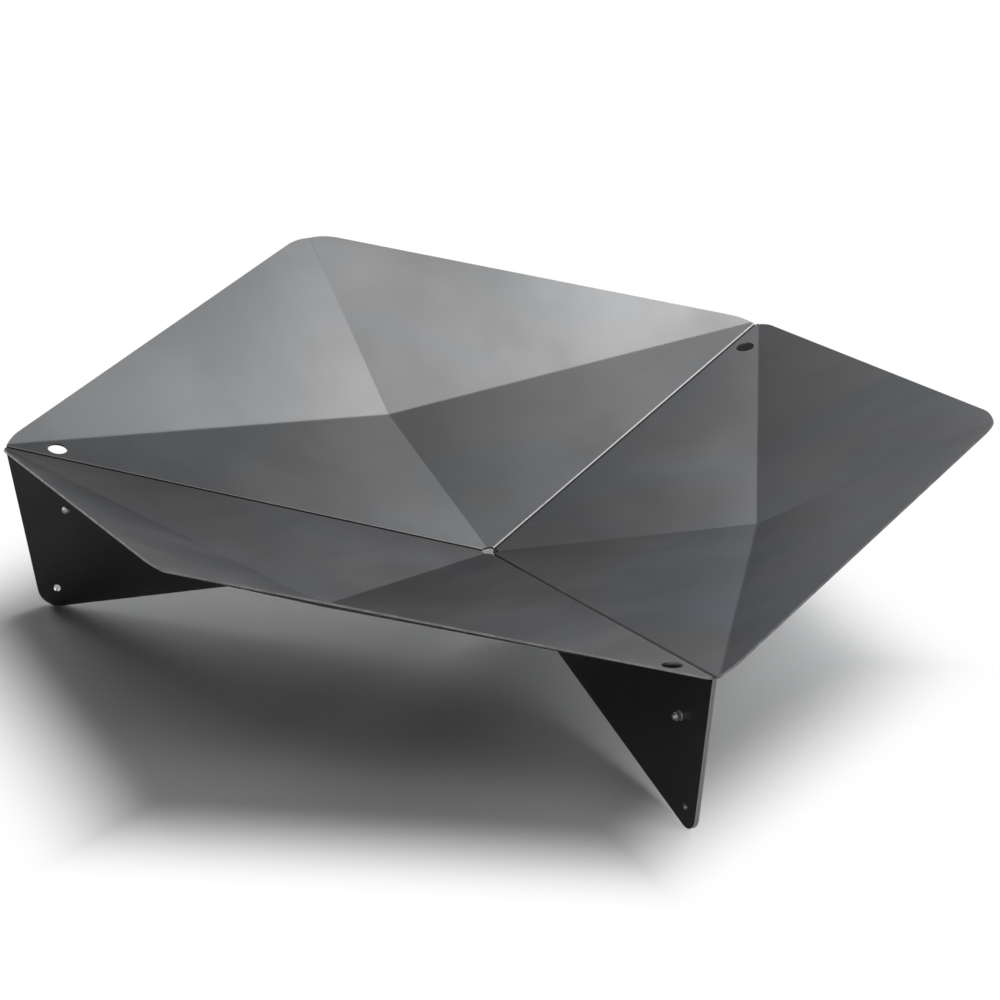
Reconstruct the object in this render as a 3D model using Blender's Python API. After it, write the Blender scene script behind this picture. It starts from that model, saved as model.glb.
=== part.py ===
"""Fire bowl made of three folded steel sheets that are bolted together along their seams.

Metres, +Z up. The origin is on the ground below the middle of the bowl, and one leg points to -Y.

Each sheet covers a third of a six-sided bowl. Four flat facets are pressed into it, and they meet at a
low point inside the bowl. Along each of its two seams the sheet is folded down into a plate. The plates
of neighbouring sheets lie face to face, a screw clamps them, and together they are one of three legs.
"""

from math import acos, atan2, cos, pi, radians, sin, sqrt, tan

import bmesh
import bpy
from mathutils import Matrix, Vector

# Bowl, with heights taken from the sharp corner of a leg's foot
SEAM_CORNER_RADIUS = 0.600
SEAM_CORNER_HEIGHT = 0.2159
OUTER_CORNER_RADIUS = 0.602
OUTER_CORNER_HEIGHT = 0.3135
CENTRE_HEIGHT = 0.1056
LOW_POINT_RADIUS = 0.321
LOW_POINT_HEIGHT = 0.1604
RIM_CORNER_FILLET = 0.070
CENTRE_RELIEF_RADIUS = 0.010

# Sheet metal
SHEET_THICKNESS = 0.0025
FOLD_INSIDE_RADIUS = 0.0010
CREASE_INSIDE_RADIUS = 0.010
MATING_GAP = 0.0003

# Legs
LEG_SETBACK = 0.009
FOOT_INSET = 0.0442
LOW_EDGE_HEIGHT_AT_CENTRE = 0.1014
FOOT_FILLET = 0.025
FOOT_FLAT_HALF_ANGLE = radians(5)

# Holes
CARRY_HOLE_DIAMETER = 0.024
CARRY_HOLE_FROM_CORNER = 0.0685
CARRY_HOLE_FROM_SEAM = 0.0215
BOLT_HOLE_FROM_OUTER_EDGE = 0.057
BOLT_HOLE_FROM_SEAM = 0.0655
BOLT_HOLE_CLEARANCE = 0.0003
FOOT_HOLE_DIAMETER = 0.009
FOOT_HOLE_FROM_EDGES = 0.0245

# Fasteners
SCREW_DIAMETER = 0.006
SCREW_HEAD_DIAMETER = 0.0105
SCREW_HEAD_HEIGHT = 0.0033
SCREW_HEAD_RIM = 0.0005
SOCKET_ACROSS_FLATS = 0.004
SOCKET_DEPTH = 0.0021
SCREW_PROTRUSION = 0.003
SCREW_END_CHAMFER = 0.0008
WASHER_DIAMETER = 0.012
WASHER_THICKNESS = 0.0016
NUT_ACROSS_FLATS = 0.010
NUT_HEIGHT = 0.0052
NUT_FACE_DIAMETER = 0.0094
NUT_CHAMFER_ANGLE = radians(30)
NUT_MOUTH_CHAMFER = 0.0004
SEAT_GAP = 0.0003

# Fineness of the round stretches
FOLD_SEGMENTS = 6
RIM_ARC_SEGMENTS = 6
FOOT_ARC_SEGMENTS = 8
RELIEF_SEGMENTS = 2
LARGE_HOLE_SIDES = 32
SMALL_HOLE_SIDES = 20
TURNED_SIDES = 24
CROWN_SEGMENTS = 6

# Allowances of the modelling steps
MERGE_DISTANCE = 0.000001
CUT_PAST = 0.001
DRILL_THICKNESSES = 8
STEEPEST_CREASE = radians(45)
SHARP_EDGE = radians(35)

LEG_ANGLES = {"front": radians(-90), "right": radians(30), "left": radians(150)}
SHEET_ANGLES = {"right": radians(-30), "back": radians(90), "left": radians(210)}
HALF_SHEET_ANGLE = radians(60)


def clear_scene():
    for thing in list(bpy.data.objects):
        bpy.data.objects.remove(thing)


def make_material(name, colour, roughness, metallic):
    material = bpy.data.materials.new(name)
    material.use_nodes = True
    shader = material.node_tree.nodes["Principled BSDF"]
    shader.inputs["Base Color"].default_value = (*colour, 1)
    shader.inputs["Roughness"].default_value = roughness
    shader.inputs["Metallic"].default_value = metallic
    material.diffuse_color = (*colour, 1)
    return material


def add_object(name, mesh, material=None):
    thing = bpy.data.objects.new(name, mesh)
    bpy.context.collection.objects.link(thing)
    if material and not mesh.materials:
        mesh.materials.append(material)
    return thing


def close_build(build, name):
    """The finished mesh of a bmesh, which is let go."""
    mesh = bpy.data.meshes.new(name)
    build.to_mesh(mesh)
    build.free()
    return mesh


# Points of a leg plate, as distance from the bowl's axis and height above the sharp foot corner


def seam_height(radius):
    rise = SEAM_CORNER_HEIGHT - CENTRE_HEIGHT
    return CENTRE_HEIGHT + rise * radius / SEAM_CORNER_RADIUS


def low_edge_height(radius):
    foot_radius = SEAM_CORNER_RADIUS - FOOT_INSET
    return LOW_EDGE_HEIGHT_AT_CENTRE * (1 - radius / foot_radius)


def leg_corners():
    """The sharp corners of a leg plate: its top on the seam, its foot, and its low edge at the axis."""
    top_radius = SEAM_CORNER_RADIUS - LEG_SETBACK
    top = Vector((top_radius, seam_height(top_radius)))
    foot = Vector((SEAM_CORNER_RADIUS - FOOT_INSET, 0))
    inner = Vector((0, LOW_EDGE_HEIGHT_AT_CENTRE))
    return top, foot, inner


def inside_corner(corner, first_end, second_end, from_first, from_second):
    """The point at given distances from the two edges that leave a corner."""
    first = (first_end - corner).normalized()
    second = (second_end - corner).normalized()
    spread = sin(first.angle(second))
    return corner + first * (from_second / spread) + second * (from_first / spread)


def foot_centre():
    top, foot, inner = leg_corners()
    return inside_corner(foot, top, inner, FOOT_FILLET, FOOT_FILLET)


def foot_arc():
    """The rounded foot, from the outer edge to the low edge, with one level facet at its lowest place."""
    top, foot, inner = leg_corners()
    outer_edge = top - foot
    low_edge = inner - foot
    start = atan2(outer_edge.y, outer_edge.x) - pi / 2
    end = atan2(low_edge.y, low_edge.x) - 3 * pi / 2
    level = -pi / 2 + FOOT_FLAT_HALF_ANGLE
    angles = [start + (level - start) * k / FOOT_ARC_SEGMENTS for k in range(FOOT_ARC_SEGMENTS + 1)]
    angles += [-pi / 2 - FOOT_FLAT_HALF_ANGLE, end]
    return [foot_centre() + FOOT_FILLET * Vector((cos(a), sin(a))) for a in angles]


def bolt_place():
    top, foot, _ = leg_corners()
    axis_end = Vector((0, CENTRE_HEIGHT))
    return inside_corner(top, foot, axis_end, BOLT_HOLE_FROM_OUTER_EDGE, BOLT_HOLE_FROM_SEAM)


def foot_hole_place():
    top, foot, inner = leg_corners()
    return inside_corner(foot, top, inner, FOOT_HOLE_FROM_EDGES, FOOT_HOLE_FROM_EDGES)


# The rounded foot lifts the sharp corner off the ground by this much
GROUND = foot_centre().y - FOOT_FILLET * cos(FOOT_FLAT_HALF_ANGLE)


# Points of a sheet: +X runs out through its outer corner, and side is +1 or -1 for its two seams


def on_seam(side, radius, height):
    """A point of a plate's mating face, which stands half the gap off the plane between the plates."""
    along = Vector((cos(HALF_SHEET_ANGLE), side * sin(HALF_SHEET_ANGLE), 0))
    inward = Vector((sin(HALF_SHEET_ANGLE), -side * cos(HALF_SHEET_ANGLE), 0))
    return along * radius + inward * MATING_GAP / 2 + Vector((0, 0, height - GROUND))


def on_middle(radius, height):
    return Vector((radius, 0, height - GROUND))


def sheet_corners(side):
    """The sharp corners of half a sheet: centre, low point, seam corner and outer corner."""
    centre = on_middle(MATING_GAP / 2 / sin(HALF_SHEET_ANGLE), CENTRE_HEIGHT)
    low = on_middle(LOW_POINT_RADIUS, LOW_POINT_HEIGHT)
    seam = on_seam(side, SEAM_CORNER_RADIUS, SEAM_CORNER_HEIGHT)
    outer = on_middle(OUTER_CORNER_RADIUS, OUTER_CORNER_HEIGHT)
    return centre, low, seam, outer


def in_plane_frame(along, towards):
    """Two unit vectors: along, and the one square to it that points towards the second vector."""
    first = along.normalized()
    second = (towards - first * towards.dot(first)).normalized()
    return first, second


def seam_corner_arc(side):
    """The rounded rim at a seam corner, from the rim to the crease and on to the seam.

    The corner's two facets are opened flat about the crease. There the arc is a part of one circle that
    touches the rim and passes through the leg plate's top corner, and it is folded back afterwards.
    """
    centre, low, corner, outer = sheet_corners(side)
    top_radius = SEAM_CORNER_RADIUS - LEG_SETBACK
    seam_end = on_seam(side, top_radius, seam_height(top_radius))
    seam, crease, rim = centre - corner, low - corner, outer - corner
    crease_angle = seam.angle(crease)
    rim_angle = crease_angle + crease.angle(rim)
    setback = (seam_end - corner).length

    reach = 2 * setback * RIM_CORNER_FILLET * sin(rim_angle) - (setback * sin(rim_angle)) ** 2
    touch = setback * cos(rim_angle) + sqrt(reach)
    rim_direction = Vector((cos(rim_angle), sin(rim_angle)))
    rim_inward = Vector((sin(rim_angle), -cos(rim_angle)))
    middle = rim_direction * touch + rim_inward * RIM_CORNER_FILLET
    crease_direction = Vector((cos(crease_angle), sin(crease_angle)))
    passing = crease_direction.dot(middle)
    crossing = passing - sqrt(passing**2 - middle.length_squared + RIM_CORNER_FILLET**2)

    start = atan2(-rim_inward.y, -rim_inward.x)
    to_crossing = crease_direction * crossing - middle
    turn = (to_crossing.angle(-rim_inward)) / RIM_ARC_SEGMENTS
    first, second = in_plane_frame(crease, rim)
    arc = []
    for k in range(RIM_ARC_SEGMENTS + 1):
        angle = start + turn * k
        flat = middle + RIM_CORNER_FILLET * Vector((cos(angle), sin(angle)))
        opened = atan2(flat.y, flat.x) - crease_angle
        arc.append(corner + flat.length * (cos(opened) * first + sin(opened) * second))
    return arc, seam_end


def outer_corner_arc(side):
    """Half of the rounded outer corner, from the rim to the crease that runs out to the corner."""
    _, low, seam, outer = sheet_corners(side)
    crease, across = in_plane_frame(low - outer, seam - outer)
    half = crease.angle(seam - outer)
    middle = outer + crease * RIM_CORNER_FILLET / sin(half)
    turn = (pi / 2 - half) / RIM_ARC_SEGMENTS
    angles = [turn * (RIM_ARC_SEGMENTS - k) for k in range(RIM_ARC_SEGMENTS + 1)]
    return [middle + RIM_CORNER_FILLET * (sin(a) * across - cos(a) * crease) for a in angles]


def relief_arc(side):
    """The cut round the bowl's axis, from the middle crease to the seam, lying in the inner facet."""
    centre, low, seam, _ = sheet_corners(side)
    normal = (low - centre).cross(seam - centre)
    seam_end = on_seam(side, CENTRE_RELIEF_RADIUS, seam_height(CENTRE_RELIEF_RADIUS))
    last = atan2(seam_end.y, seam_end.x)
    radius = Vector((seam_end.x, seam_end.y)).length
    arc = []
    for k in range(RELIEF_SEGMENTS + 1):
        angle = last * k / RELIEF_SEGMENTS
        x, y = radius * cos(angle), radius * sin(angle)
        z = centre.z - (normal.x * (x - centre.x) + normal.y * (y - centre.y)) / normal.z
        arc.append(Vector((x, y, z)))
    return arc


def half_sheet_faces(side):
    """Outlines of the outer facet, the inner facet and the leg plate on one side of a sheet."""
    _, low, _, _ = sheet_corners(side)
    corner_arc, seam_end = seam_corner_arc(side)
    relief = relief_arc(side)
    outer_facet = [low] + corner_arc[::-1] + outer_corner_arc(side)
    inner_facet = relief + [seam_end, corner_arc[-1], low]
    foot = [on_seam(side, p.x, p.y) for p in foot_arc()]
    inner_foot = on_seam(side, CENTRE_RELIEF_RADIUS, low_edge_height(CENTRE_RELIEF_RADIUS))
    plate = [relief[-1], inner_foot] + foot[::-1] + [seam_end]
    return [outer_facet, inner_facet, plate]


def fold_width(edge):
    """How far a fold's bend reaches along the face on each side, from the fold's angle and radius."""
    angle = edge.calc_face_angle()
    is_crease = angle < STEEPEST_CREASE
    radius = CREASE_INSIDE_RADIUS if is_crease else FOLD_INSIDE_RADIUS + SHEET_THICKNESS
    return radius * tan(angle / 2)


def sheet_mesh():
    """The sheet's upper face and its plates' mating faces, with sharp folds that know their widths."""
    build = bmesh.new()
    weight = build.edges.layers.float.new("bevel_weight_edge")
    for side in (1, -1):
        for outline in half_sheet_faces(side):
            build.faces.new([build.verts.new(p) for p in outline])
    bmesh.ops.remove_doubles(build, verts=build.verts, dist=MERGE_DISTANCE)
    bmesh.ops.recalc_face_normals(build, faces=build.faces)
    highest = max(build.faces, key=lambda face: face.calc_center_median().z)
    if highest.normal.z < 0:
        bmesh.ops.reverse_faces(build, faces=build.faces)
    folds = {edge: fold_width(edge) for edge in build.edges if len(edge.link_faces) == 2}
    widest = max(folds.values())
    for edge, width in folds.items():
        edge[weight] = width / widest
    return close_build(build, "sheet"), widest


def add_prism(build, centre, axis, radius, length, sides):
    """A closed prism with the given number of sides, centred on a point."""
    turn = Vector((0, 0, 1)).rotation_difference(axis).to_matrix().to_4x4()
    place = Matrix.Translation(centre) @ turn
    bmesh.ops.create_cone(
        build, cap_ends=True, segments=sides, radius1=radius, radius2=radius, depth=length, matrix=place
    )


def hole_cutters():
    """Drills for one sheet: a carry hole in an inner facet, and a bolt hole and foot hole in each plate."""
    build = bmesh.new()
    length = DRILL_THICKNESSES * SHEET_THICKNESS
    centre, low, seam, _ = sheet_corners(1)
    along, across = in_plane_frame(centre - seam, low - seam)
    carry = seam + along * CARRY_HOLE_FROM_CORNER + across * CARRY_HOLE_FROM_SEAM
    add_prism(build, carry, along.cross(across), CARRY_HOLE_DIAMETER / 2, length, LARGE_HOLE_SIDES)
    bolt_hole_radius = SCREW_DIAMETER / 2 + BOLT_HOLE_CLEARANCE
    for side in (1, -1):
        inward = Vector((sin(HALF_SHEET_ANGLE), -side * cos(HALF_SHEET_ANGLE), 0))
        for place, radius in ((bolt_place(), bolt_hole_radius), (foot_hole_place(), FOOT_HOLE_DIAMETER / 2)):
            add_prism(build, on_seam(side, place.x, place.y), inward, radius, length, SMALL_HOLE_SIDES)
    return close_build(build, "hole_cutters")


def add_tool(name, mesh, owner, operation):
    """A hidden shape that cuts or trims its owner, as the last of the owner's modifiers."""
    tool = add_object(f"{name}_{owner.name}", mesh)
    tool.parent = owner
    tool.hide_render = True
    tool.display_type = "WIRE"
    cut = owner.modifiers.new(name, "BOOLEAN")
    cut.operation = operation
    cut.solver = "EXACT"
    cut.object = tool


def make_sheets(material):
    """Three sheets: the folds get their radii, the sheet its thickness, and then the holes are cut."""
    mesh, widest = sheet_mesh()
    cutters = hole_cutters()
    for place, angle in SHEET_ANGLES.items():
        sheet = add_object(f"sheet_{place}", mesh, material)
        sheet.rotation_euler.z = angle
        bends = sheet.modifiers.new("bends", "BEVEL")
        bends.limit_method = "WEIGHT"
        bends.width = widest
        bends.segments = FOLD_SEGMENTS
        bends.use_clamp_overlap = False
        gauge = sheet.modifiers.new("gauge", "SOLIDIFY")
        gauge.thickness = SHEET_THICKNESS
        gauge.offset = -1
        gauge.use_even_offset = True
        gauge.use_quality_normals = True
        add_tool("holes", cutters, sheet, "DIFFERENCE")


# Fasteners: local +Z runs out of the screw head, and z = 0 is the plane between the two leg plates


def plate_seat():
    """Where a piece sits on either plate, as a distance from the plane between the plates."""
    return MATING_GAP / 2 + SHEET_THICKNESS + SEAT_GAP


def nut_seat():
    return plate_seat() + WASHER_THICKNESS + SEAT_GAP


def turned_mesh(name, profile, hollow=False):
    """A solid turned about local Z from a profile of (radius, height) points, listed from bottom to top.

    It starts half a facet round, so that the corners of a hexagon on the same axis meet the middles of
    facets and not their edges.
    """
    build = bmesh.new()
    half_facet = pi / TURNED_SIDES
    around = Vector((cos(half_facet), sin(half_facet), 0))
    points = [build.verts.new(around * radius + Vector((0, 0, height))) for radius, height in profile]
    pairs = list(zip(points, points[1:]))
    if hollow:
        pairs.append((points[-1], points[0]))
    edges = [build.edges.new(pair) for pair in pairs]
    bmesh.ops.spin(
        build, geom=points + edges, axis=(0, 0, 1), cent=(0, 0, 0), angle=2 * pi, steps=TURNED_SIDES
    )
    bmesh.ops.remove_doubles(build, verts=build.verts, dist=MERGE_DISTANCE)
    bmesh.ops.recalc_face_normals(build, faces=build.faces)
    mesh = close_build(build, name)
    mesh.shade_smooth()
    mesh.set_sharp_from_angle(angle=SHARP_EDGE)
    return mesh


def screw_profile():
    """A button head on a plain shank, from the chamfered end up to the crown of the head."""
    shank = SCREW_DIAMETER / 2
    end = -(nut_seat() + NUT_HEIGHT + SCREW_PROTRUSION)
    seat = plate_seat()
    rim = SCREW_HEAD_DIAMETER / 2
    rise = SCREW_HEAD_HEIGHT - SCREW_HEAD_RIM
    crown_radius = (rim**2 + rise**2) / (2 * rise)
    widest = acos((crown_radius - rise) / crown_radius)
    profile = [(0, end), (shank - SCREW_END_CHAMFER, end), (shank, end + SCREW_END_CHAMFER), (shank, seat)]
    profile.append((rim, seat))
    for k in range(CROWN_SEGMENTS):
        angle = widest * (1 - k / CROWN_SEGMENTS)
        height = seat + SCREW_HEAD_HEIGHT - crown_radius * (1 - cos(angle))
        profile.append((crown_radius * sin(angle), height))
    profile.append((0, seat + SCREW_HEAD_HEIGHT))
    return profile


def hexagon_mesh(name, across_flats, middle, height):
    """A six-sided prism on local Z, centred at a given height."""
    build = bmesh.new()
    corner_radius = across_flats / 2 / cos(pi / 6)
    add_prism(build, Vector((0, 0, middle)), Vector((0, 0, 1)), corner_radius, height, 6)
    return close_build(build, name)


def socket_mesh():
    """The cutter for the socket: half of it stands out of the head's crown."""
    crown = plate_seat() + SCREW_HEAD_HEIGHT
    return hexagon_mesh("socket_cutter", SOCKET_ACROSS_FLATS, crown, 2 * SOCKET_DEPTH)


def washer_mesh():
    bore = SCREW_DIAMETER / 2 + SEAT_GAP
    rim = WASHER_DIAMETER / 2
    top = -plate_seat()
    bottom = top - WASHER_THICKNESS
    return turned_mesh("leg_washer", [(bore, bottom), (rim, bottom), (rim, top), (bore, top)], hollow=True)


def nut_cone_profile(near, far):
    """The turned shape that takes the nut's corners off: a cylinder with a cone at both ends."""
    face = NUT_FACE_DIAMETER / 2
    reach = NUT_ACROSS_FLATS / 2 / cos(pi / 6) + CUT_PAST
    drop = (reach - face) * tan(NUT_CHAMFER_ANGLE)
    return [(0, far), (face, far), (reach, far + drop), (reach, near - drop), (face, near), (0, near)]


def nut_bore_profile(near, far):
    """The drill for the nut's bore, which widens towards both mouths."""
    bore = SCREW_DIAMETER / 2 + SEAT_GAP
    wide = bore + NUT_MOUTH_CHAMFER + CUT_PAST
    return [
        (0, far - CUT_PAST),
        (wide, far - CUT_PAST),
        (bore, far + NUT_MOUTH_CHAMFER),
        (bore, near - NUT_MOUTH_CHAMFER),
        (wide, near + CUT_PAST),
        (0, near + CUT_PAST),
    ]


def make_fasteners(screw_material, washer_material, nut_material):
    """One screw, washer and nut for each leg; the head sits on the plate on the leg's anticlockwise side."""
    nut_near = -nut_seat()
    nut_far = nut_near - NUT_HEIGHT
    screw_mesh = turned_mesh("leg_screw", screw_profile())
    socket = socket_mesh()
    ring_mesh = washer_mesh()
    nut_mesh = hexagon_mesh("leg_nut", NUT_ACROSS_FLATS, (nut_near + nut_far) / 2, NUT_HEIGHT)
    cone = turned_mesh("nut_cone", nut_cone_profile(nut_near, nut_far))
    drill = turned_mesh("nut_drill", nut_bore_profile(nut_near, nut_far))
    bolt = bolt_place()
    for place, angle in LEG_ANGLES.items():
        spot = add_object(f"bolt_axis_{place}", None)
        out = Vector((cos(angle), sin(angle), 0))
        across = Vector((-sin(angle), cos(angle), 0))
        spot.location = out * bolt.x + Vector((0, 0, bolt.y - GROUND))
        spot.rotation_euler = across.to_track_quat("Z", "Y").to_euler()
        screw = add_object(f"leg_screw_{place}", screw_mesh, screw_material)
        add_tool("socket", socket, screw, "DIFFERENCE")
        washer = add_object(f"leg_washer_{place}", ring_mesh, washer_material)
        nut = add_object(f"leg_nut_{place}", nut_mesh, nut_material)
        add_tool("cone", cone, nut, "INTERSECT")
        add_tool("bore", drill, nut, "DIFFERENCE")
        for piece in (screw, washer, nut):
            piece.parent = spot


def main():
    clear_scene()
    sheet_steel = make_material("sheet_steel", (0.085, 0.087, 0.092), 0.34, 1.0)
    screw_steel = make_material("screw_steel", (0.46, 0.46, 0.45), 0.30, 1.0)
    washer_steel = make_material("washer_steel", (0.42, 0.42, 0.41), 0.36, 1.0)
    nut_steel = make_material("nut_steel", (0.44, 0.44, 0.43), 0.32, 1.0)
    make_sheets(sheet_steel)
    make_fasteners(screw_steel, washer_steel, nut_steel)


main()
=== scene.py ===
"""Looks of a fire bowl: three creased and folded steel sheets, bolted together into three legs.

Metres, +Z up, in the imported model's own frame. Every piece is a surface worked out with numpy: a grid of
points between two lines, or a profile carried round an axis. The sheets are worked out in their own frame,
where +X runs out through the raised corner, and then turned to their place.
"""

from math import acos, atan2, ceil, cos, pi, radians, sin, sqrt, tan

import bmesh
import bpy
import numpy as np
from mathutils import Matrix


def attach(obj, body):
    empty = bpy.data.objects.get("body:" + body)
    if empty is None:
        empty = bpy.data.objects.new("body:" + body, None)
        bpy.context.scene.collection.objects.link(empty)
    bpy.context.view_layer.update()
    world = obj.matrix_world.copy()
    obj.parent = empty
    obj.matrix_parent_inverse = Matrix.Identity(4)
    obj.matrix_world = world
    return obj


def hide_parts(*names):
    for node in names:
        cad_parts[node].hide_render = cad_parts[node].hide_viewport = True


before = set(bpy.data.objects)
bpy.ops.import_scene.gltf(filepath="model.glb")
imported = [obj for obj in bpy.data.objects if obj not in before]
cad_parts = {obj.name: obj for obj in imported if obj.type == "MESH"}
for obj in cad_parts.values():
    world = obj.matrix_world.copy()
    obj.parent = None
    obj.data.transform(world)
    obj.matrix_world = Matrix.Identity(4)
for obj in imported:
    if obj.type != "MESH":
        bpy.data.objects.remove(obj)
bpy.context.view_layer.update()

# Bowl, with heights taken from the sharp corner of a leg's foot
SEAM_CORNER_RADIUS = 0.600
SEAM_CORNER_HEIGHT = 0.2159
OUTER_CORNER_RADIUS = 0.602
OUTER_CORNER_HEIGHT = 0.3135
CENTRE_HEIGHT = 0.1056
LOW_POINT_RADIUS = 0.321
LOW_POINT_HEIGHT = 0.1604
RIM_CORNER_RADIUS = 0.070
RELIEF_RADIUS = 0.010

# Sheet metal
THICKNESS = 0.0025
FOLD_RADIUS = 0.0035
CREASE_RADIUS = 0.010
MATING_GAP = 0.0003
ARRIS = 0.0003
GROOVE_FADE = 0.004
DOUBLE_REACH = 0.000002
SLIVER_LENGTH = 0.000001

# Legs
LEG_SETBACK = 0.009
FOOT_INSET = 0.0442
LOW_EDGE_HEIGHT_AT_CENTRE = 0.1014
FOOT_RADIUS = 0.025
FOOT_FLAT_HALF_ANGLE = radians(5)

# Holes
CARRY_HOLE_DIAMETER = 0.024
CARRY_HOLE_FROM_CORNER = 0.0685
CARRY_HOLE_FROM_SEAM = 0.0215
BOLT_HOLE_DIAMETER = 0.0066
BOLT_HOLE_FROM_OUTER_EDGE = 0.057
BOLT_HOLE_FROM_SEAM = 0.0655
FOOT_HOLE_DIAMETER = 0.009
FOOT_HOLE_FROM_EDGES = 0.0245

# Least distance from a hole's middle to the grid that is left round it
CARRY_HOLE_WINDOW = 0.0142
BOLT_HOLE_WINDOW = 0.0048

# Fasteners
SCREW_RADIUS = 0.003
THREAD_ROOT_RADIUS = 0.00245
THREAD_PITCH = 0.001
HEAD_RADIUS = 0.00525
HEAD_HEIGHT = 0.0033
HEAD_RIM = 0.0005
SOCKET_ACROSS_FLATS = 0.004
SOCKET_DEPTH = 0.0021
SCREW_PROTRUSION = 0.003
END_CHAMFER = 0.0008
CROWN_ROUNDING = 0.00018
SEAT_ROUNDING = 0.0001
NECK_ROUNDING = 0.0003
THREAD_RUNOUT = 0.002
THREAD_STEPS = 10
WASHER_RADIUS = 0.006
WASHER_THICKNESS = 0.0016
NUT_ACROSS_FLATS = 0.010
NUT_HEIGHT = 0.0052
NUT_FACE_RADIUS = 0.0047
NUT_CHAMFER_ANGLE = radians(30)
BORE_RADIUS = 0.0033
MOUTH_CHAMFER = 0.0004
NUT_EASING = 0.00012
SHARP_ANGLE = radians(38)
SEAT_GAP = 0.0003

LEG_ANGLES = {"front": radians(-90), "right": radians(30), "left": radians(150)}
SHEET_ANGLES = {"right": radians(-30), "back": radians(90), "left": radians(210)}

HALF_SHEET = radians(60)
UP = np.array([0.0, 0.0, 1.0])
ALONG_SEAM = np.array([cos(HALF_SHEET), sin(HALF_SHEET), 0.0])
INTO_SHEET = np.array([sin(HALF_SHEET), -cos(HALF_SHEET), 0.0])


def unit(vector):
    """The vector, or each of many, at length 1."""
    return vector / np.linalg.norm(vector, axis=-1, keepdims=True)


# Leg plate outline, as distance from the bowl's axis and height above the sharp foot corner

SEAM_RISE = (SEAM_CORNER_HEIGHT - CENTRE_HEIGHT) / SEAM_CORNER_RADIUS
TOP_RADIUS = SEAM_CORNER_RADIUS - LEG_SETBACK
PLATE_TOP = np.array([TOP_RADIUS, CENTRE_HEIGHT + SEAM_RISE * TOP_RADIUS])
PLATE_FOOT = np.array([SEAM_CORNER_RADIUS - FOOT_INSET, 0.0])
PLATE_INNER = np.array([0.0, LOW_EDGE_HEIGHT_AT_CENTRE])


def inside_corner(corner, first_end, second_end, from_first, from_second):
    """The point at given distances from the two edges that leave a corner."""
    first = unit(first_end - corner)
    second = unit(second_end - corner)
    spread = abs(first[0] * second[1] - first[1] * second[0])
    return corner + first * (from_second / spread) + second * (from_first / spread)


FOOT_CENTRE = inside_corner(PLATE_FOOT, PLATE_TOP, PLATE_INNER, FOOT_RADIUS, FOOT_RADIUS)
FOOT_HOLE = inside_corner(PLATE_FOOT, PLATE_TOP, PLATE_INNER, FOOT_HOLE_FROM_EDGES, FOOT_HOLE_FROM_EDGES)
BOLT_HOLE = inside_corner(
    PLATE_TOP, PLATE_FOOT, np.array([0.0, CENTRE_HEIGHT]), BOLT_HOLE_FROM_OUTER_EDGE, BOLT_HOLE_FROM_SEAM
)
GROUND = FOOT_CENTRE[1] - FOOT_RADIUS * cos(FOOT_FLAT_HALF_ANGLE)


def on_plate(points):
    """Points of the mating face of the +Y plate, from (distance from the axis, height) pairs."""
    points = np.asarray(points, float)
    away = points[..., :1] * ALONG_SEAM
    return away + INTO_SHEET * MATING_GAP / 2 + (points[..., 1:] - GROUND) * UP


def on_middle(radius, height):
    """The point of the sheet's middle plane at a distance from the axis and a height."""
    return np.array([radius, 0.0, height - GROUND])


# The sharp corners of the +Y half of a sheet
CENTRE = on_middle(MATING_GAP / 2 / sin(HALF_SHEET), CENTRE_HEIGHT)
LOW_POINT = on_middle(LOW_POINT_RADIUS, LOW_POINT_HEIGHT)
SEAM_CORNER = on_plate([SEAM_CORNER_RADIUS, SEAM_CORNER_HEIGHT])
OUTER_CORNER = on_middle(OUTER_CORNER_RADIUS, OUTER_CORNER_HEIGHT)
SEAM_START = on_plate([0.0, CENTRE_HEIGHT])


def plane_slopes(a, b, c):
    """Rise per metre along X and Y of the plane through three points."""
    return np.linalg.solve([(b - a)[:2], (c - a)[:2]], [(b - a)[2], (c - a)[2]])


INNER_SLOPES = plane_slopes(LOW_POINT, CENTRE, SEAM_CORNER)
OUTER_SLOPES = plane_slopes(LOW_POINT, OUTER_CORNER, SEAM_CORNER)


def blended(first, second, difference):
    """The higher of two planes, with a bend where they meet.

    The bend is a parabola of the crease radius: it adds (w - d)^2 / 4w where the planes are d apart and
    d is less than w, and w is the radius times the square of the slopes' difference, halved.
    """
    width = CREASE_RADIUS * difference**2 / 2
    apart = np.abs(first - second)
    return np.maximum(first, second) + np.clip(width - apart, 0, None) ** 2 / (4 * width)


def facet_height(x, y):
    """Height of a sheet's upper face: the greatest of its four planes, blended where they meet."""
    planes = []
    for slopes in (INNER_SLOPES, OUTER_SLOPES):
        level = LOW_POINT[2] + slopes[0] * (x - LOW_POINT[0])
        planes.append(blended(level + slopes[1] * y, level - slopes[1] * y, 2 * slopes[1]))
    return blended(planes[0], planes[1], np.linalg.norm(OUTER_SLOPES - INNER_SLOPES))


def lifted(plan):
    """Plan points raised onto the sheet's upper face."""
    return np.concatenate([plan[..., :2], facet_height(plan[..., 0], plan[..., 1])[..., None]], axis=-1)


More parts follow.
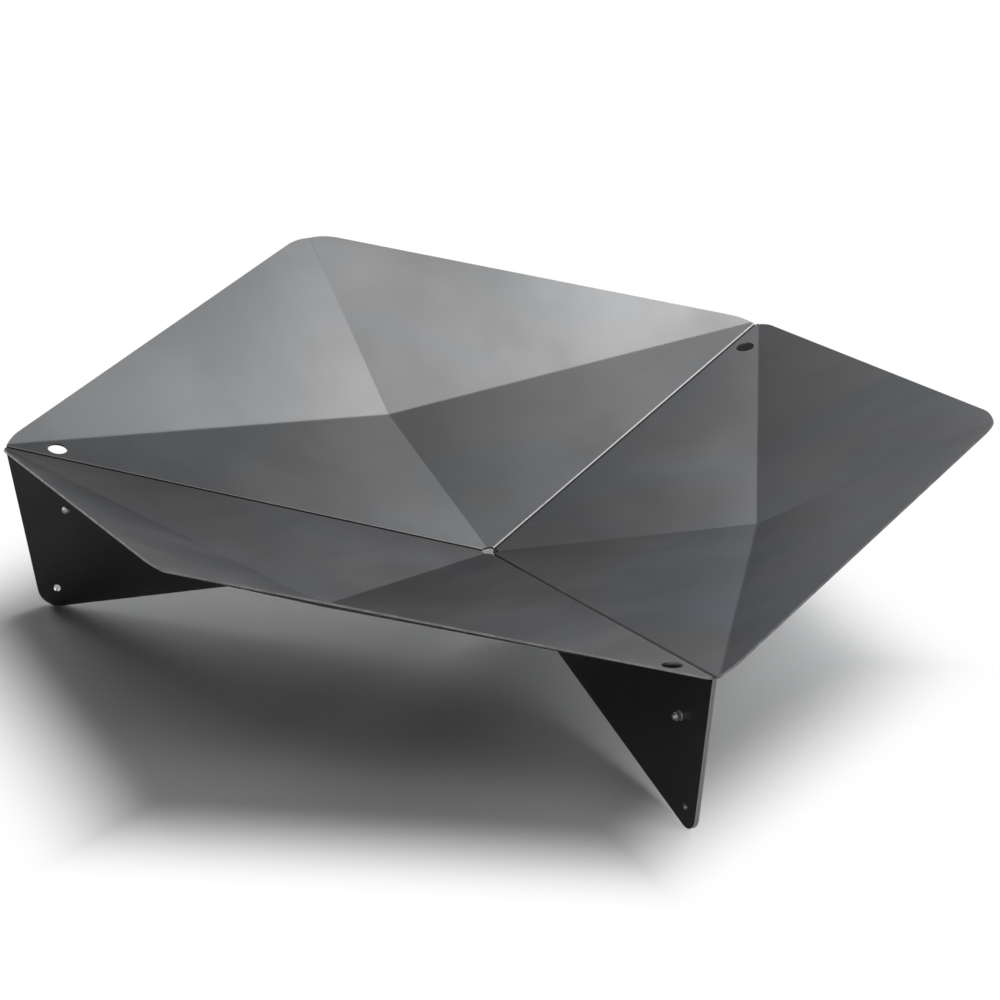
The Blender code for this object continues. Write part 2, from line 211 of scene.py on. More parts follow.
def graded(length, first, last, most, fine=()):
    """Places along a run whose steps grow from a small first step to the greatest and shrink to the last.

    The step size is worked out along the whole run, and the places are where its summed inverse passes
    equal shares. Each entry of fine keeps the steps small near one place: (place, reach, step).
    """
    growth = 0.35
    place = np.linspace(0, length, 4001)
    step = np.minimum(first + growth * place, last + growth * (length - place))
    step = np.minimum(step, most)
    for centre, reach, small in fine:
        step = np.minimum(step, small + growth * np.clip(np.abs(place - centre) - reach, 0, None))
    share = np.concatenate([[0], np.cumsum(np.diff(place) * (1 / step[1:] + 1 / step[:-1]) / 2)])
    return np.interp(np.linspace(0, share[-1], ceil(share[-1]) + 1), share, place)


# The fold along a seam: facet, bend and plate

FACET_NORMAL = unit(np.array([-INNER_SLOPES[0], -INNER_SLOPES[1], 1.0]))
PLATE_NORMAL = -INTO_SHEET
SEAM_LENGTH = np.linalg.norm(SEAM_CORNER - SEAM_START)
SEAM_LINE = (SEAM_CORNER - SEAM_START) / SEAM_LENGTH
FOLD_ANGLE = acos(FACET_NORMAL @ PLATE_NORMAL)
TO_FOLD_AXIS = np.linalg.solve([FACET_NORMAL, PLATE_NORMAL, SEAM_LINE], [-FOLD_RADIUS, -FOLD_RADIUS, 0.0])
FOLD_REACH = FOLD_RADIUS * tan(FOLD_ANGLE / 2)


def fold_points(along, share):
    """Points of the fold's outer face, from the distance along the seam and the share of the bend passed.

    The normal turns from the facet's to the plate's as an even rotation, and the point stands one fold
    radius from the bend's axis along it.
    """
    along = np.asarray(along, float)[..., None]
    share = np.asarray(share, float)[..., None]
    normal = np.sin((1 - share) * FOLD_ANGLE) * FACET_NORMAL + np.sin(share * FOLD_ANGLE) * PLATE_NORMAL
    normal = normal / sin(FOLD_ANGLE)
    return SEAM_START + along * SEAM_LINE + TO_FOLD_AXIS + FOLD_RADIUS * normal


def blank_place(points, is_plate):
    """Where each point lies on the flat blank before folding, for patterns that follow the surface."""
    if not is_plate:
        return points[..., :2]
    start = fold_points(0.0, 1.0)
    offset = points - start
    along = offset @ SEAM_LINE
    depth = -offset @ unit(UP - (UP @ SEAM_LINE) * SEAM_LINE)
    facet_side = fold_points(along, 0.0)[..., :2]
    return facet_side + (FOLD_RADIUS * FOLD_ANGLE + depth)[..., None] * PLATE_NORMAL[:2]


# Outline of half a sheet's facets, from the raised corner round to the bowl's axis


def outer_corner_run():
    """Half of the rounded raised corner, from the middle crease to the rim: an arc in the outer facet."""
    crease = unit(LOW_POINT - OUTER_CORNER)
    rim = SEAM_CORNER - OUTER_CORNER
    across = unit(rim - crease * (rim @ crease))
    half = acos(unit(rim) @ crease)
    middle = OUTER_CORNER + crease * RIM_CORNER_RADIUS / sin(half)
    angle = graded(RIM_CORNER_RADIUS * (pi / 2 - half), 0.0004, 0.003, 0.0035) / RIM_CORNER_RADIUS
    angle = angle[:, None]
    return middle + RIM_CORNER_RADIUS * (np.sin(angle) * across - np.cos(angle) * crease)


def seam_corner_runs():
    """The rounded corner at a seam, from the rim to the crease and from the crease to the fold.

    The two facets are opened flat about the crease. There the run is one arc that touches the rim and
    passes through the plate's top corner, and its points are folded back afterwards.
    """
    crease, seam, rim = (unit(p - SEAM_CORNER) for p in (LOW_POINT, SEAM_START, OUTER_CORNER))
    crease_angle = acos(seam @ crease)
    rim_angle = crease_angle + acos(crease @ rim)
    setback = np.linalg.norm(on_plate(PLATE_TOP) - SEAM_CORNER)
    reach = 2 * setback * RIM_CORNER_RADIUS * sin(rim_angle) - (setback * sin(rim_angle)) ** 2
    touch = setback * cos(rim_angle) + sqrt(reach)
    rim_flat = np.array([cos(rim_angle), sin(rim_angle)])
    inward = np.array([sin(rim_angle), -cos(rim_angle)])
    middle = rim_flat * touch + inward * RIM_CORNER_RADIUS
    crease_flat = np.array([cos(crease_angle), sin(crease_angle)])
    passing = crease_flat @ middle
    crossing = passing - sqrt(passing**2 - middle @ middle + RIM_CORNER_RADIUS**2)
    fold_x = middle[0] - sqrt(RIM_CORNER_RADIUS**2 - (FOLD_REACH - middle[1]) ** 2)
    ends = [-inward, crease_flat * crossing - middle, np.array([fold_x, FOLD_REACH]) - middle]
    angles = np.unwrap([atan2(end[1], end[0]) for end in ends])
    towards_rim = unit(rim - crease * (rim @ crease))
    towards_seam = unit(seam - crease * (seam @ crease))

    def folded_back(angle, side):
        flat = middle + RIM_CORNER_RADIUS * np.stack([np.cos(angle), np.sin(angle)], axis=-1)
        distance = np.linalg.norm(flat, axis=-1)[:, None]
        opened = np.abs(np.arctan2(flat[:, 1], flat[:, 0]) - crease_angle)[:, None]
        return SEAM_CORNER + distance * (np.cos(opened) * crease + np.sin(opened) * side)

    first_run = graded(RIM_CORNER_RADIUS * abs(angles[1] - angles[0]), 0.003, 0.0004, 0.0035)
    second_run = graded(RIM_CORNER_RADIUS * abs(angles[2] - angles[1]), 0.0004, 0.0012, 0.003)
    turning = np.sign(angles[1] - angles[0])
    rim_side = folded_back(angles[0] + turning * first_run / RIM_CORNER_RADIUS, towards_rim)
    seam_side = folded_back(angles[1] + turning * second_run / RIM_CORNER_RADIUS, towards_seam)
    return rim_side, seam_side, SEAM_LENGTH - fold_x


def relief_start():
    """How far along the seam the cut round the bowl's axis meets the fold."""
    start, step = fold_points(0.0, 0.0)[:2], SEAM_LINE[:2]
    half = (start @ step) / (step @ step)
    return -half + sqrt(half**2 - (start @ start - RELIEF_RADIUS**2) / (step @ step))


def half_outline():
    """Plan points round half a sheet, with the places along the seam of those that lie on the fold."""
    outer_arc = outer_corner_run()
    rim_side, seam_side, seam_end = seam_corner_runs()
    rim_length = np.linalg.norm(rim_side[0] - outer_arc[-1])
    share = graded(rim_length, 0.003, 0.003, 0.025)[:, None] / rim_length
    rim = outer_arc[-1] + share * (rim_side[0] - outer_arc[-1])
    seam_first = relief_start()
    carry_place = SEAM_LENGTH - CARRY_HOLE_FROM_CORNER + 0.02
    bolt_place = BOLT_HOLE[0] - 0.008
    near_holes = ((seam_end - carry_place, 0.026, 0.0034), (seam_end - bolt_place, 0.014, 0.0022))
    run = graded(seam_end - seam_first, 0.0015, 0.001, 0.012, fine=near_holes)
    along = seam_end - run
    seam = fold_points(along, 0.0)
    relief_angle = atan2(seam[-1][1], seam[-1][0])
    turn = relief_angle - graded(RELIEF_RADIUS * relief_angle, 0.001, 0.0004, 0.001) / RELIEF_RADIUS
    relief = RELIEF_RADIUS * np.stack([np.cos(turn), np.sin(turn), 0 * turn], axis=-1)
    parts = [outer_arc, rim[1:], rim_side[1:], seam_side[1:], seam[1:], relief[1:]]
    plan = np.concatenate(parts)[:, :2]
    first = sum(len(part) for part in parts[:4]) - 1
    return plan, first, along


def star_grid(hubs, outline, shares, insets):
    """Rows of points from the hubs out to the outline.

    A point's place is hub + share * (end - hub), where end is the outline moved in by the greatest inset,
    or by a third of the ray where the ray is short. The last rows stand at the smaller insets and on the
    outline.
    """
    ray = outline - hubs
    length = np.linalg.norm(ray, axis=-1, keepdims=True)
    cut = [np.minimum(inset, length * 0.33 * inset / insets[0]) / length for inset in insets]
    rows = [hubs + ray * share * (1 - cut[0]) for share in shares]
    rows += [outline - ray * share for share in cut[1:]]
    rows.append(outline)
    return np.stack(rows)


def grid_faces(rows, columns, closed=False, first=0):
    """Four-sided faces between the points of a grid, as indices."""
    k, i = np.meshgrid(np.arange(rows - 1), np.arange(columns if closed else columns - 1), indexing="ij")
    after = (i + 1) % columns
    near, far = k * columns + first, (k + 1) * columns + first
    return np.stack([near + i, far + i, far + after, near + after], axis=-1)


def distance_to_run(points, centre):
    """The least distance from a centre to the straight runs between the given points."""
    start, step = points[:-1], np.diff(points, axis=0)
    share = np.clip(np.sum((centre - start) * step, -1) / np.maximum(np.sum(step * step, -1), 1e-18), 0, 1)
    return np.linalg.norm(start + share[:, None] * step - centre, axis=-1).min()


def window_round(points, centre, clear):
    """The block of grid cells round a hole: the nearest rows and columns that clear it on each side."""
    rows, columns = points.shape[:2]
    nearest = np.linalg.norm(points - centre, axis=-1)
    k, i = np.unravel_index(np.argmin(nearest), nearest.shape)
    wide = [distance_to_run(points[:, c], centre) for c in range(columns)]
    i0 = max(c for c in range(i + 1) if wide[c] >= clear)
    i1 = min(c for c in range(i, columns) if wide[c] >= clear)
    tall = [distance_to_run(points[r, i0 : i1 + 1], centre) for r in range(rows)]
    k0 = max(r for r in range(k + 1) if tall[r] >= clear)
    k1 = min(r for r in range(k, rows) if tall[r] >= clear)
    return k0, k1, i0, i1


def ring_grid(border, centre, radius, normal):
    """Rows of points from a round hole out to the border of its window.

    The hole's points are evenly spaced round its circle, in step with the border's points, and the rows lie
    between the two at fixed shares.
    """
    first = unit(border[0] - centre - ((border[0] - centre) @ normal) * normal)
    second = np.cross(normal, first)
    offset = border - centre
    seen = np.unwrap(np.arctan2(offset @ second, offset @ first))
    count = len(border)
    even = np.arange(count) * 2 * pi / count * np.sign(seen[-1] - seen[0])
    angle = (even + np.mean(seen - even))[:, None]
    circle = centre + radius * (np.cos(angle) * first + np.sin(angle) * second)
    shares = np.array([0, 0.12, 0.3, 0.6, 1.0])[:, None, None]
    return circle * (1 - shares) + border * shares


def with_hole(points, centre, radius, clear, normal):
    """Which cells of a grid stay when a block is taken out round a hole, and the ring that fills it."""
    k0, k1, i0, i1 = window_round(points, centre, clear)
    keep = np.ones((points.shape[0] - 1, points.shape[1] - 1), bool)
    keep[k0:k1, i0:i1] = False
    border = np.concatenate(
        [points[k0, i0:i1], points[k0:k1, i1], points[k1, i1:i0:-1], points[k1:k0:-1, i0]]
    )
    return keep, ring_grid(border, centre, radius, normal)


class Surface:
    """Points, faces and blank places of a sheet's face, gathered patch by patch."""

    def __init__(self):
        self.points, self.faces, self.blank, self.count = [], [], [], 0

    def add(self, points, faces, is_plate, mirrored):
        blank = blank_place(points, is_plate).reshape(-1, 2)
        points = points.reshape(-1, 3)
        if mirrored:
            points = points * [1, -1, 1]
            blank = blank * [1, -1]
        self.points.append(points)
        self.blank.append(blank)
        self.faces.append(faces.reshape(-1, 4) + self.count)
        self.count += len(points)


# Rows of the grids, as shares of the way from the low point or the foot hole to the outline
FACET_SHARES = np.array(
    [0, 0.0016, 0.0035, 0.006, 0.0095, 0.014, 0.021, 0.031, 0.046, 0.07, 0.105, 0.16, 0.23, 0.31, 0.40,
     0.49, 0.58, 0.67, 0.75, 0.82, 0.865, 0.885, 0.9, 0.915, 0.93, 0.945, 0.958, 0.97, 0.982, 1.0]
)
PLATE_SHARES = np.array(
    [0, 0.012, 0.04, 0.1, 0.18, 0.28, 0.38, 0.48, 0.56, 0.595, 0.62, 0.645, 0.67, 0.695, 0.73, 0.8, 0.9,
     1.0]
)
EDGE_INSETS = (0.006, 0.0016)


def add_facets(surface, mirrored):
    """Half a sheet's facets: rays from the low point to the outline, with the carry hole in one half."""
    plan, first, along = half_outline()
    hub = np.tile(LOW_POINT[:2], (len(plan), 1))
    points = lifted(star_grid(hub, plan, FACET_SHARES, EDGE_INSETS))
    points[-1, first : first + len(along)] = fold_points(along, 0.0)
    faces = grid_faces(*points.shape[:2])
    if not mirrored:
        to_centre = unit(SEAM_START - SEAM_CORNER)
        across = unit(np.cross(FACET_NORMAL, SEAM_LINE))
        across = across if across @ INTO_SHEET > 0 else -across
        centre = SEAM_CORNER + to_centre * CARRY_HOLE_FROM_CORNER + across * CARRY_HOLE_FROM_SEAM
        keep, ring = with_hole(points, centre, CARRY_HOLE_DIAMETER / 2, CARRY_HOLE_WINDOW, FACET_NORMAL)
        surface.add(ring, grid_faces(*ring.shape[:2], closed=True), False, mirrored)
        faces = faces[keep]
    surface.add(points, faces, False, mirrored)
    return along


def plate_top_run(along):
    """Places along the seam at which the plate begins, spread between the plate's own two ends."""
    start = fold_points(0.0, 1.0)
    inner_end = (RELIEF_RADIUS - start @ ALONG_SEAM) / (SEAM_LINE @ ALONG_SEAM)
    edge = PLATE_FOOT - PLATE_TOP
    place = np.array([start @ ALONG_SEAM, start[2] + GROUND])
    step = np.array([SEAM_LINE @ ALONG_SEAM, SEAM_LINE[2]])
    outer_end = np.linalg.solve(np.stack([step, -edge], axis=1), PLATE_TOP - place)[0]
    share = (along - along[-1]) / (along[0] - along[-1])
    return inner_end + share * (outer_end - inner_end)


def foot_run():
    """The rounded foot, from the low edge to the outer edge, with a level stretch at its lowest place."""
    outer = unit(PLATE_TOP - PLATE_FOOT)
    low = unit(PLATE_INNER - PLATE_FOOT)
    start = atan2(low[1], low[0]) - 3 * pi / 2
    end = atan2(outer[1], outer[0]) - pi / 2
    level = (-pi / 2 - FOOT_FLAT_HALF_ANGLE, -pi / 2 + FOOT_FLAT_HALF_ANGLE)
    angle = np.concatenate([np.linspace(start, level[0], 4), np.linspace(level[1], end, 26)])
    return FOOT_CENTRE + FOOT_RADIUS * np.stack([np.cos(angle), np.sin(angle)], axis=-1)


def straight_run(start, end, first, last, most):
    """Points from start to end with graded steps: start + share * (end - start)."""
    length = np.linalg.norm(end - start)
    share = graded(length, first, last, most)[:, None] / length
    return start + share * (end - start)


def add_plate(surface, top, mirrored):
    """A leg plate: rays from the foot hole's circle out to the outline, with the bolt hole between them."""
    top_flat = np.stack([top @ ALONG_SEAM, top[:, 2] + GROUND], axis=-1)
    low_slope = LOW_EDGE_HEIGHT_AT_CENTRE / PLATE_FOOT[0]
    inner_foot = np.array([RELIEF_RADIUS, LOW_EDGE_HEIGHT_AT_CENTRE - low_slope * RELIEF_RADIUS])
    foot = foot_run()
    runs = [
        top_flat,
        straight_run(top_flat[-1], inner_foot, 0.001, 0.001, 0.0015)[1:],
        straight_run(inner_foot, foot[0], 0.0015, 0.002, 0.016)[1:],
        foot[1:],
        straight_run(foot[-1], top_flat[0], 0.0025, 0.002, 0.006)[1:],
    ]
    outline = np.concatenate(runs)
    outline[-1] = outline[0]
    hubs = FOOT_HOLE + FOOT_HOLE_DIAMETER / 2 * unit(outline - FOOT_HOLE)
    points = on_plate(star_grid(hubs, outline, PLATE_SHARES, EDGE_INSETS))
    faces = grid_faces(*points.shape[:2])
    centre = on_plate(BOLT_HOLE)
    keep, ring = with_hole(points, centre, BOLT_HOLE_DIAMETER / 2, BOLT_HOLE_WINDOW, PLATE_NORMAL)
    surface.add(ring, grid_faces(*ring.shape[:2], closed=True), True, mirrored)
    surface.add(points, faces[keep], True, mirrored)


FOLD_STEPS = 10


def sheet_face():
    """The upper face of a whole sheet with the mating faces of its plates, as one open surface."""
    surface = Surface()
    for mirrored in (False, True):
        along = add_facets(surface, mirrored)
        share = np.linspace(0, 1, FOLD_STEPS + 1)[:, None]
        runs = along * (1 - share) + plate_top_run(along) * share
        bend = fold_points(runs, np.broadcast_to(share, runs.shape))
        surface.add(bend, grid_faces(*bend.shape[:2]), True, mirrored)
        add_plate(surface, bend[-1], mirrored)
    return np.concatenate(surface.points), np.concatenate(surface.faces), np.concatenate(surface.blank)


def turned(points, angle):
    """Points turned about the bowl's axis."""
    x, y, z = points.T
    return np.stack([x * cos(angle) - y * sin(angle), x * sin(angle) + y * cos(angle), z], axis=-1)


def mesh_of(name, points, faces):
    """A mesh with the given points and faces."""
    mesh = bpy.data.meshes.new(name)
    mesh.from_pydata(points.tolist(), [], faces.reshape(-1, faces.shape[-1]).tolist())
    return mesh


def merged(mesh):
    """The mesh with its doubled points merged and its faces all turned one way."""
    build = bmesh.new()
    build.from_mesh(mesh)
    bmesh.ops.remove_doubles(build, verts=build.verts, dist=DOUBLE_REACH)
    bmesh.ops.dissolve_degenerate(build, edges=build.edges, dist=SLIVER_LENGTH)
    bmesh.ops.recalc_face_normals(build, faces=build.faces)
    build.to_mesh(mesh)
    build.free()
    return mesh


def face_up(mesh):
    """Turns a mesh over if its first face looks down."""
    if mesh.polygons[0].normal.z < 0:
        mesh.flip_normals()


def point_places(mesh):
    places = np.empty(len(mesh.vertices) * 3)
    mesh.vertices.foreach_get("co", places)
    return places.reshape(-1, 3)


def edge_distance(mesh):
    """Each point's distance to the nearest cut edge, worked out in blocks of points."""
    points = point_places(mesh)
    edges = np.empty(len(mesh.edges) * 2, int)
    mesh.edges.foreach_get("vertices", edges)
    edges = edges.reshape(-1, 2)
    loops = np.empty(len(mesh.loops), int)
    mesh.loops.foreach_get("edge_index", loops)
    rim = edges[np.bincount(loops, minlength=len(edges)) == 1]
    rim_points = (points[rim[:, 0]] + points[rim[:, 1]]) / 2
    rim_points = np.concatenate([rim_points, points[rim[:, 0]]])
    blocks = np.array_split(points, 60)
    nearest = [np.sqrt(((block[:, None] - rim_points[None]) ** 2).sum(-1).min(1)) for block in blocks]
    return np.concatenate(nearest)


def from_seam(points):
    """Each point's distance from the nearer seam's upright plane, and along that plane from the axis."""
    x, y = points[:, 0], np.abs(points[:, 1])
    return x * INTO_SHEET[0] + y * INTO_SHEET[1], x * ALONG_SEAM[0] + y * ALONG_SEAM[1]


def groove_depth(points):
    """How deep in a seam's groove each point of an unturned sheet lies: 0 on a facet, 1 at a plate's top.

    It grows with the distance passed across the bend, and fades out again over a stretch down the plate.
    """
    inward, away = from_seam(points)
    below = SEAM_START[2] + SEAM_RISE * away - points[:, 2] - FOLD_REACH
    return np.clip(1 - inward / FOLD_REACH, 0, 1) * np.clip(1 - below / GROOVE_FADE, 0, 1)


def leg_edge_highlight_share(points):
    """Which points of an unturned sheet lie on the outer half of a leg plate, as 0 or 1: there the cut edge
    gets a painted highlight.
    """
    inward, away = from_seam(points)
    return ((inward < 2 * MATING_GAP) & (away > TOP_RADIUS - FOOT_INSET)).astype(float)


def keep_attribute(mesh, name, kind, values):
    """Keeps one value for each point of a mesh, for the materials to read."""
    layer = mesh.attributes.new(name, kind, "POINT")
    field = "vector" if kind == "FLOAT_VECTOR" else "value"
    layer.data.foreach_set(field, np.ascontiguousarray(values, float).ravel())


def placed(name, data):
    """A new object in the scene, at the origin."""
    thing = bpy.data.objects.new(name, data)
    bpy.context.collection.objects.link(thing)
    return thing


def add_piece(name, mesh, materials, nodes):
    """Puts a mesh in the scene as a piece that rides on the bowl and stands for the named CAD nodes."""
    piece = placed(name, mesh)
    for material in materials:
        mesh.materials.append(material)
    mesh.shade_smooth()
    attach(piece, "root")
    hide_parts(*nodes)
    return piece


def ease_edges(piece, width, least_angle):
    """A narrow bevel on the edges that turn by more than an angle."""
    eased = piece.modifiers.new("eased", "BEVEL")
    eased.limit_method = "ANGLE"
    eased.angle_limit = least_angle
    eased.width = width
    eased.segments = 2


def shade_by_area(piece, keep_sharp):
    """Shading that follows the large faces and leaves the turn to the small ones."""
    flat = piece.modifiers.new("flat_faces", "WEIGHTED_NORMAL")
    flat.weight = 100
    flat.keep_sharp = keep_sharp


# Share of painted shade in the groove at each sheet's two seams: the anticlockwise one first, seen from
# above
SEAM_GROOVE_SHADE = {"right": (0.9, 1.0), "back": (1.0, 0.25), "left": (0.9, 1.0)}


def make_sheets(materials, edge_material):
    """The three sheets: the face gets its gauge, eased cut edges and shading that follows the facets."""
    points, faces, blank = sheet_face()
    base = mesh_of("sheet", points, faces)
    blank = np.concatenate([blank, np.zeros((len(blank), 1))], axis=1)
    keep_attribute(base, "blank", "FLOAT_VECTOR", blank)
    merged(base)
    places = point_places(base)
    face_up(base)
    keep_attribute(base, "cut_edge", "FLOAT", edge_distance(base))
    keep_attribute(base, "leg_edge_highlight", "FLOAT", leg_edge_highlight_share(places))
    groove = groove_depth(places)
    for place, angle in SHEET_ANGLES.items():
        name = f"steel_sheet_{place}"
        mesh = base.copy()
        mesh.name = name
        # Each seam's groove gets its own share of painted shade
        first, second = SEAM_GROOVE_SHADE[place]
        keep_attribute(mesh, "groove", "FLOAT", groove * np.where(places[:, 1] > 0, first, second))
        mesh.vertices.foreach_set("co", turned(places, angle).ravel())
        mesh.update()
        sheet = add_piece(name, mesh, [materials[place], edge_material], [f"sheet_{place}"])
        gauge = sheet.modifiers.new("gauge", "SOLIDIFY")
        gauge.thickness = THICKNESS
        gauge.offset = -1
        gauge.use_even_offset = True
        gauge.use_quality_normals = True
        gauge.material_offset_rim = 1
        ease_edges(sheet, ARRIS, radians(55))
        shade_by_area(sheet, keep_sharp=False)


# Fasteners: local +Z runs out of the screw head, and z = 0 is the plane between the two leg plates

PLATE_SEAT = MATING_GAP / 2 + THICKNESS + SEAT_GAP
NUT_NEAR = -(PLATE_SEAT + WASHER_THICKNESS + SEAT_GAP)
NUT_FAR = NUT_NEAR - NUT_HEIGHT
ROUND_STEPS = 96
ROUND = np.arange(ROUND_STEPS) * 2 * pi / ROUND_STEPS


def hexagon_radius(across_flats):
    """Distance from the axis to a hexagon's side in each direction, with its corners up and down."""
    return across_flats / 2 / np.cos((ROUND - pi / 2) % (pi / 3) - pi / 6)


def turned_piece(radius, height, leg_angle, closed=False):
    """Points and faces of a grid round the bolt's axis, from the radius and height in each direction."""
    radius, height = np.broadcast_arrays(radius, height)
    out = np.array([cos(leg_angle), sin(leg_angle), 0.0])
    across = np.array([-sin(leg_angle), cos(leg_angle), 0.0])
    sideways = np.cross(UP, across)
    centre = out * BOLT_HOLE[0] + UP * (BOLT_HOLE[1] - GROUND)
    points = (
        centre
        + (radius * np.cos(ROUND))[..., None] * sideways
        + (radius * np.sin(ROUND))[..., None] * UP
        + height[..., None] * across
    )
    rows, columns = radius.shape
    faces = grid_faces(rows, columns, closed=True)
    if closed:
        last = grid_faces(2, columns, closed=True)[0]
        last = np.where(last >= columns, last - columns, last + (rows - 1) * columns)
        faces = np.concatenate([faces, last[None]])
    return points.reshape(-1, 3), faces.reshape(-1, 4)


def arc_profile(centre_radius, centre_height, size, start, end, steps):
    """A rounded edge of a turned piece, as radius and height."""
    angle = np.linspace(start, end, steps + 1)
    return centre_radius + size * np.cos(angle), centre_height + size * np.sin(angle)


def screw_rows():
    """Rows of a button-head screw, from the bottom of its hexagon socket over the head and down the thread.

    The head's crown is a ball's cap. Its rows go over from the socket's hexagon to circles. The thread's
    radius is a triangle wave of height / pitch + turn, cut off flat at its root and its crest.
    """
    top = PLATE_SEAT + HEAD_HEIGHT
    rise = HEAD_HEIGHT - HEAD_RIM
    crown = (HEAD_RADIUS**2 + rise**2) / (2 * rise)
    hexagon = hexagon_radius(SOCKET_ACROSS_FLATS)

    def crown_height(radius):
        return top - crown + np.sqrt(crown**2 - radius**2)

    floor = top - SOCKET_DEPTH
    radius = [0 * ROUND, hexagon * 0.55, hexagon * 0.96, hexagon, hexagon]
    height = [floor - 0.0004, floor - 0.00015, floor, floor + 0.0001]
    height.append(crown_height(hexagon) - CROWN_ROUNDING)
    for share in (0, 0.03, 0.08, 0.3, 0.55, 0.8, 0.95):
        start = hexagon * 1.035
        ring = start + (HEAD_RADIUS - 0.0002 - start) * share
        radius.append(ring)
        height.append(crown_height(ring))
    rim_height = PLATE_SEAT + HEAD_RIM - SEAT_ROUNDING
    rim = arc_profile(HEAD_RADIUS - CROWN_ROUNDING, rim_height, CROWN_ROUNDING, 0.9, 0.0, 3)
    seat_radius = HEAD_RADIUS - SEAT_ROUNDING
    seat = arc_profile(seat_radius, PLATE_SEAT + SEAT_ROUNDING, SEAT_ROUNDING, 0.0, -pi / 2, 3)
    for arc in (rim, seat):
        radius += list(arc[0])
        height += list(arc[1])
    radius += [SCREW_RADIUS + NECK_ROUNDING, SCREW_RADIUS]
    height += [PLATE_SEAT, PLATE_SEAT - NECK_ROUNDING]
    end = NUT_FAR - SCREW_PROTRUSION
    shank = np.arange(PLATE_SEAT - 2 * NECK_ROUNDING, end, -THREAD_PITCH / THREAD_STEPS)
    wave = np.abs(2 * ((shank[:, None] / THREAD_PITCH + ROUND / (2 * pi)) % 1) - 1)
    cut = np.clip(wave * 1.25 - 0.1, 0, 1) * (SCREW_RADIUS - THREAD_ROOT_RADIUS)
    fade = np.clip((PLATE_SEAT - shank) / THREAD_RUNOUT, 0, 1)[:, None]
    thread = SCREW_RADIUS - cut * fade
    thread = np.minimum(thread, SCREW_RADIUS - END_CHAMFER + (shank - end)[:, None])
    radius += list(thread) + [SCREW_RADIUS - END_CHAMFER, SCREW_RADIUS / 2, 0]
    height += list(shank) + [end, end, end]
    return np.stack([r + 0 * ROUND for r in radius]), np.stack([z + 0 * ROUND for z in height])


def washer_rows():
    """A stamped ring: its outer edge is rounded on the side that the punch met, and crisp on the other."""
    near, far = -PLATE_SEAT, -PLATE_SEAT - WASHER_THICKNESS
    crisp, punched, bore_punched, bore_crisp = 0.00015, 0.0004, 0.0002, 0.0001
    outer_near = arc_profile(WASHER_RADIUS - crisp, near - crisp, crisp, pi / 2, 0, 3)
    outer_far = arc_profile(WASHER_RADIUS - punched, far + punched, punched, 0, -pi / 2, 5)
    inner_far = arc_profile(BORE_RADIUS + bore_punched, far + bore_punched, bore_punched, -pi / 2, -pi, 3)
    inner_near = arc_profile(BORE_RADIUS + bore_crisp, near - bore_crisp, bore_crisp, pi, pi / 2, 2)
    corners = [outer_near, outer_far, inner_far, inner_near]
    radius = np.concatenate([c[0] for c in corners])[:, None] + 0 * ROUND
    height = np.concatenate([c[1] for c in corners])[:, None] + 0 * ROUND
    return radius, height


def nut_rows():
    """A hexagon nut: its side is the hexagon, cut at both ends by a cone that leaves the corners rounded.

    The cone meets the side at a drop of (hexagon radius - face radius) * tan(chamfer angle).
    """
    hexagon = hexagon_radius(NUT_ACROSS_FLATS)
    drop = (hexagon - NUT_FACE_RADIUS) * tan(NUT_CHAMFER_ANGLE)
    mouth = BORE_RADIUS + MOUTH_CHAMFER
    radius = [BORE_RADIUS, mouth, NUT_FACE_RADIUS, hexagon, hexagon, NUT_FACE_RADIUS, mouth, BORE_RADIUS]
    height = [
        NUT_NEAR - MOUTH_CHAMFER,
        NUT_NEAR,
        NUT_NEAR,
        NUT_NEAR - drop,
        NUT_FAR + drop,
        NUT_FAR,
        NUT_FAR,
        NUT_FAR + MOUTH_CHAMFER,
    ]
    return np.stack([r + 0 * ROUND for r in radius]), np.stack([z + 0 * ROUND for z in height])


def make_fasteners(materials):
    """A screw, a washer and a nut at each leg."""
    kinds = {
        "screw": (screw_rows(), False, 0.0),
        "washer": (washer_rows(), True, 0.0),
        "nut": (nut_rows(), True, NUT_EASING),
    }
    for place, leg_angle in LEG_ANGLES.items():
        for kind, ((radius, height), closed, easing) in kinds.items():
            points, faces = turned_piece(radius, height, leg_angle, closed)
            mesh = merged(mesh_of(f"{kind}_{place}", points, faces))
            node = f"leg_{kind}_{place}"
            piece = add_piece(f"zinc_{kind}_{place}", mesh, [materials[kind]], [node])
            mesh.set_sharp_from_angle(angle=SHARP_ANGLE)
            if easing:
                ease_edges(piece, easing, radians(24))
            shade_by_area(piece, keep_sharp=not easing)


# Materials


